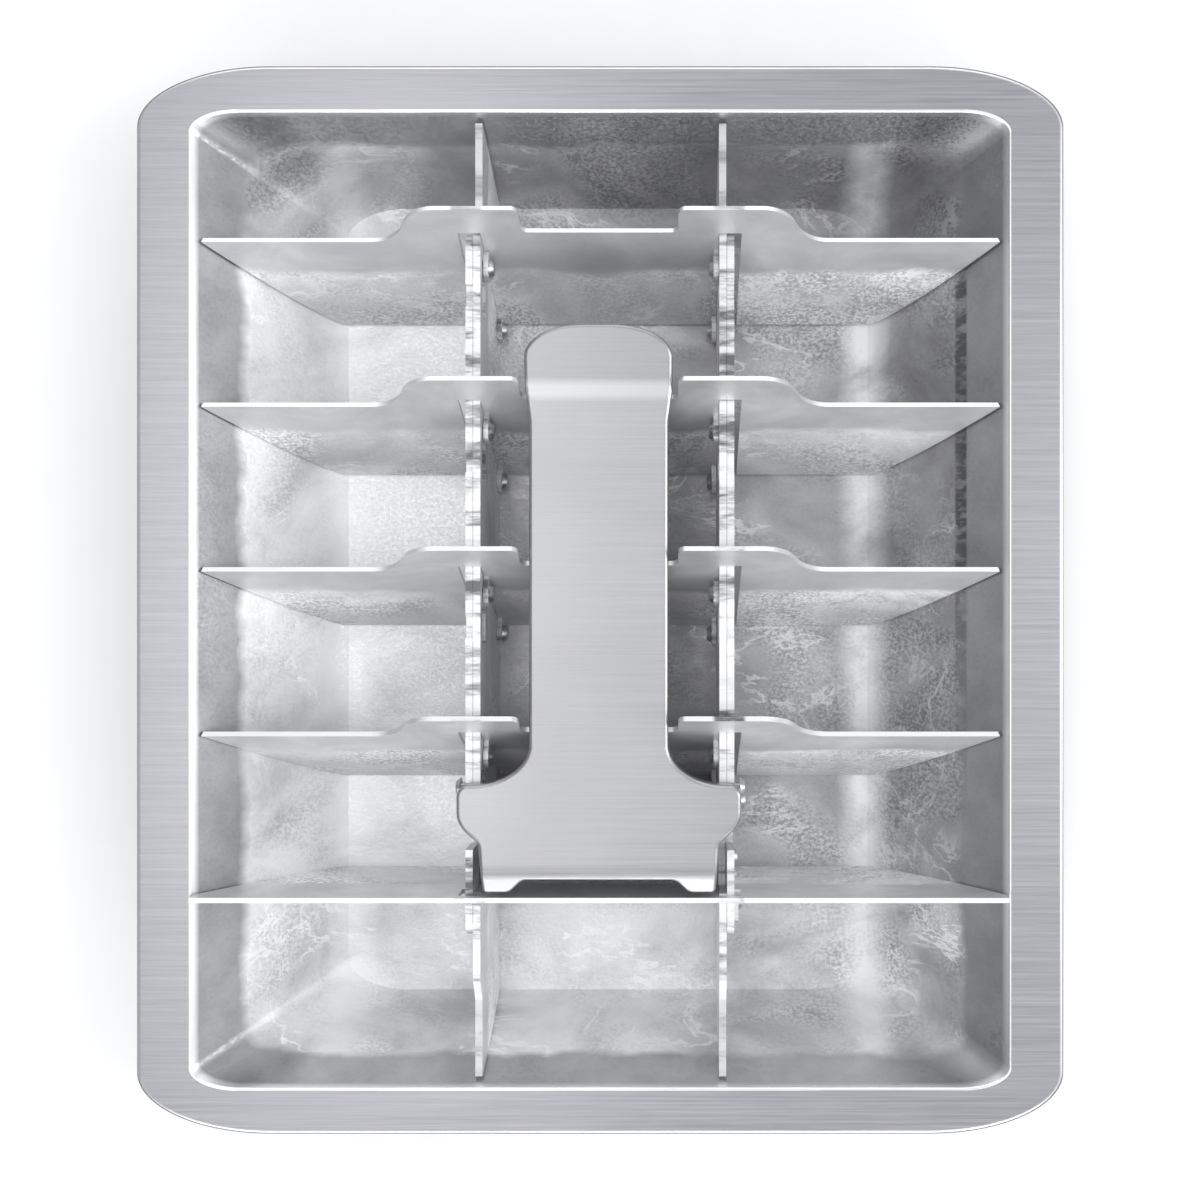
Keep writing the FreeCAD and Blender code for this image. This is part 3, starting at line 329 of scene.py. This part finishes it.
def pan_steel():
    """Brushed outside and rim; inside, a bare band above the water line and frost below it."""
    nodes = new_finish("pan_steel_finish")
    marks = brushed_lines(nodes)
    brushed = nodes.ramp(marks, [
        (0.30, (0.38, 0.38, 0.40)),
        (0.70, (0.52, 0.52, 0.545)),
    ])
    across, along, height = nodes.split(nodes.place())
    side_wall = nodes.span(nodes.calc("ABSOLUTE", across), WALL_START, WALL_FULL)
    frosted, relief, grit = pan_frost(nodes, across, along, side_wall)
    depth = water_depth(nodes)
    hollow = nodes.mix(depth, bare_wall(nodes, across, side_wall), frosted)
    # painted shade: a broken dark line at the water line on the right wall
    hollow = nodes.mix(waterline_shade_amount(nodes, across, along, height), hollow, WATERLINE_SHADE)
    outward = nodes.outward()
    _, _, upward = nodes.facing()
    inside = nodes.times(nodes.span(outward, 0.006, 0.002), nodes.span(upward, -0.2, 0.0))
    on_rim = nodes.span(height, RIM_HEIGHT - 0.0022, RIM_HEIGHT - 0.0008)
    in_hollow = nodes.times(inside, nodes.calc("SUBTRACT", 1.0, on_rim))
    icy = nodes.times(in_hollow, depth)
    colour = nodes.mix(in_hollow, brushed, hollow)
    # painted highlight on the bead round the mouth, a painted highlight as the pale line round the outer
    # edge, and painted dark reflection and shadow on the lip below it
    inner_fillet_highlight = nodes.times(on_rim, nodes.span(outward, -0.008, -0.03))
    colour = nodes.mix(inner_fillet_highlight, colour, MOUTH_HIGHLIGHT)
    outer_fillet_highlight = nodes.times(on_rim, nodes.span(outward, 0.012, 0.030))
    colour = nodes.mix(outer_fillet_highlight, colour, OUTER_HIGHLIGHT)
    # painted dark reflection and shadow on the turned-down lip
    colour = nodes.mix(nodes.span(outward, 0.060, 0.085), colour, LIP_SHADE)
    brushed_rough = nodes.span(marks, 0.3, 0.7, 0.28, 0.42)
    frosted_rough = nodes.span(grit, 0.35, 0.65, 0.30, 0.60)
    roughness = nodes.blend(in_hollow, brushed_rough, frosted_rough)
    fine = nodes.bump(marks, 0.25, 0.00012)
    normal = nodes.bump(relief, nodes.times(icy, 0.60), 0.0014, fine)
    return nodes.finish(colour, roughness, normal, nodes.blend(icy, 1.0, 0.35))


def top_edge(nodes, along, reach):
    """Painted highlight on the plates' top edges, and blotched dark and pale tops on the dividers."""
    past_inner = nodes.span(reach, DIVIDER_INNER, DIVIDER_INNER + DIVIDER_FADE)
    before_outer = nodes.span(reach, DIVIDER_OUTER, DIVIDER_OUTER - DIVIDER_FADE)
    blotches = nodes.pattern((25.0, 150.0, 25.0), 5.0, 0.7)
    # dark and pale blotches along the dividers' tops, the palest being the painted top highlight
    patchy = nodes.ramp(blotches, [
        (0.38, (0.16, 0.165, 0.17)),
        (0.44, (0.44, 0.445, 0.45)),
        (0.50, (0.80, 0.80, 0.81)),
        (0.60, TOP_HIGHLIGHT),
    ])
    dulled = nodes.span(nodes.apart(along, -0.002), 0.094, 0.100, 0.0, 0.55)
    patchy = nodes.mix(dulled, patchy, DULL_EDGE)
    return nodes.mix(nodes.times(past_inner, before_outer), TOP_HIGHLIGHT, patchy)


def grid_steel():
    """Satin sheet with a painted highlight on its top edges, frosted where the water stood."""
    nodes = new_finish("grid_steel_finish")
    marks = brushed_lines(nodes, 0.8)
    frosted, relief, grit = frost(nodes, 0.62, 0.94)
    clouds = nodes.pattern((42.0, 60.0, 60.0), 5.0, 0.6, 0.6)
    satin = nodes.ramp(clouds, [
        (0.30, (0.60, 0.61, 0.62)),
        (0.50, (0.70, 0.71, 0.715)),
        (0.68, (0.82, 0.825, 0.83)),
    ])
    across, along, _ = nodes.split(nodes.place())
    reach = nodes.calc("ABSOLUTE", across)
    # the middle of each plate lies in the lever's shade
    satin = nodes.shade(satin, nodes.span(reach, 0.026, 0.034, 0.87, 1.0))
    depth = water_depth(nodes)
    colour = nodes.mix(depth, satin, frosted)
    _, _, upward = nodes.facing()
    # painted highlight on the faces that point up
    colour = nodes.mix(nodes.span(upward, 0.80, 0.90), colour, top_edge(nodes, along, reach))
    satin_rough = nodes.span(marks, 0.3, 0.7, 0.34, 0.50)
    frosted_rough = nodes.span(grit, 0.35, 0.65, 0.40, 0.65)
    roughness = nodes.blend(depth, satin_rough, frosted_rough)
    fine = nodes.bump(marks, 0.15, 0.0001)
    normal = nodes.bump(relief, nodes.blend(depth, 0.12, 0.50), 0.0011, fine)
    return nodes.finish(colour, roughness, normal, nodes.blend(depth, 0.55, 0.10))


def lever_steel():
    """Brushed steel with marks across the lever, a painted highlight along its bend and painted shade on its
    tip.
    """
    nodes = new_finish("lever_steel_finish")
    marks = brushed_lines(nodes, 0.9)
    tone = nodes.ramp(marks, [
        (0.30, (0.40, 0.40, 0.41)),
        (0.70, (0.49, 0.49, 0.50)),
    ])
    cast = nodes.pattern((20.0, 26.0, 26.0), 2.0, 0.5)
    tone = nodes.shade(tone, nodes.span(cast, 0.35, 0.65, 0.95, 1.03))
    _, along, _ = nodes.split(nodes.place())
    # painted shade on the upturned tip
    on_tip = nodes.span(along, LEVER_BEND + 0.0015, LEVER_BEND + 0.0035)
    tone = nodes.mix(nodes.times(on_tip, 0.35), tone, TIP_SHADE)
    # painted highlight along the bend
    rising = nodes.span(along, LEVER_BEND - BEND_FADE, LEVER_BEND - BEND_HALF)
    falling = nodes.span(along, LEVER_BEND + BEND_HALF, LEVER_BEND + BEND_FADE, 1.0, 0.0)
    tone = nodes.mix(nodes.times(rising, falling, 0.4), tone, BEND_HIGHLIGHT)
    roughness = nodes.span(marks, 0.3, 0.7, 0.30, 0.44)
    normal = nodes.bump(marks, 0.22, 0.0001)
    return nodes.finish(tone, roughness, normal)


def rivet_steel():
    """Small bright fasteners, speckled darker and paler by fine grit."""
    nodes = new_finish("rivet_steel_finish")
    grit = nodes.pattern((900.0, 900.0, 900.0), 4.0, 0.6)
    tone = nodes.ramp(grit, [
        (0.3, (0.42, 0.43, 0.44)),
        (0.7, (0.72, 0.72, 0.73)),
    ])
    roughness = nodes.span(grit, 0.3, 0.7, 0.22, 0.45)
    normal = nodes.bump(grit, 0.2, 0.0002)
    return nodes.finish(tone, roughness, normal)


def floor_finish():
    """A plain white table."""
    nodes = new_finish("floor_finish")
    grain = nodes.pattern((90.0, 90.0, 90.0))
    tone = nodes.ramp(grain, [
        (0.2, (0.965, 0.965, 0.965)),
        (0.8, (0.985, 0.985, 0.985)),
    ])
    normal = nodes.bump(grain, 0.02, 0.0002)
    return nodes.finish(tone, 0.8, normal, metallic=0.0)


FINISHES = {
    "pan_steel": pan_steel(),
    "grid_steel": grid_steel(),
    "lever_steel": lever_steel(),
    "rivet_steel": rivet_steel(),
}


def dress_nodes():
    """Give every CAD node the finish of its material slot."""
    slots = {entry["node"]: entry["material_slot"] for entry in frame["record"]["subparts"]}
    for name, piece in frame["nodes"].items():
        finish = FINISHES[slots[name]]
        piece.data.materials.clear()
        piece.data.materials.append(finish)


def make_floor():
    """A wide white floor at the height the pan stands on."""
    bpy.ops.mesh.primitive_plane_add(size=6.0, location=(0.0, 0.0, 0.0))
    floor = bpy.context.object
    floor.name = "floor"
    floor.data.materials.append(floor_finish())


def area_light(name, place, aim, size, power):
    """A soft white light at a place, turned to its aim."""
    data = bpy.data.lights.new(name, "AREA")
    data.shape = "RECTANGLE"
    data.size, data.size_y = size
    data.energy = power
    lamp = bpy.data.objects.new(name, data)
    bpy.context.scene.collection.objects.link(lamp)
    lamp.location = place
    lamp.rotation_euler = (Vector(aim) - Vector(place)).to_track_quat("-Z", "Y").to_euler()


def make_sky():
    """A pale room, dimmer beyond both ends of the tray, darkest low on the left, paler over the right rim."""
    world = bpy.data.worlds.new("studio")
    nodes = Nodes(world)
    across, along, _ = nodes.split(nodes.add("ShaderNodeTexCoord").outputs["Generated"])
    ends = nodes.span(nodes.calc("ABSOLUTE", along), 0.12, 0.45, 1.0, 0.62)
    left = nodes.span(across, -0.95, -0.45, 0.30, 1.0)
    right = nodes.span(across, 0.02, 0.15, 1.0, 0.95)
    over_rim = nodes.span(across, 0.19, 0.26, 1.0, 1.16)
    background = nodes.tree.nodes["Background"]
    background.inputs["Color"].default_value = SKY_TONE
    nodes.link(nodes.times(ends, left, right, over_rim), background.inputs["Strength"])
    bpy.context.scene.world = world


def make_lights():
    """A soft panel above the left cells, and low strips on the right and at both ends."""
    middle = (0.0, 0.0, 0.0)
    area_light("panel", (-0.34, 0.03, 1.3), (-0.34, 0.03, 0.0), (0.42, 1.3), 2.6)
    area_light("strip", (1.2, 0.0, 0.60), middle, (0.5, 1.4), 6.5)
    area_light("near", (0.0, -1.3, 0.70), middle, (1.8, 0.5), 10.0)
    area_light("far", (0.0, 1.4, 0.70), middle, (1.8, 0.5), 5.0)


def make_camera():
    """A camera straight above the tray, with the lever's tip at the top of the picture."""
    data = bpy.data.cameras.new("camera")
    data.sensor_width = SENSOR
    data.lens = SENSOR * CAMERA_RISE / FRAME_WIDTH
    data.shift_x = -CAMERA_X / FRAME_WIDTH
    data.shift_y = -CAMERA_Y / FRAME_WIDTH
    data.clip_start = NEAR_CLIP
    camera = bpy.data.objects.new("camera", data)
    camera.location = (CAMERA_X, CAMERA_Y, RIM_HEIGHT + CAMERA_RISE)
    bpy.context.scene.collection.objects.link(camera)
    bpy.context.scene.camera = camera


dress_nodes()
make_floor()
make_sky()
make_lights()
make_camera()
bpy.context.scene.view_settings.view_transform = "Standard"
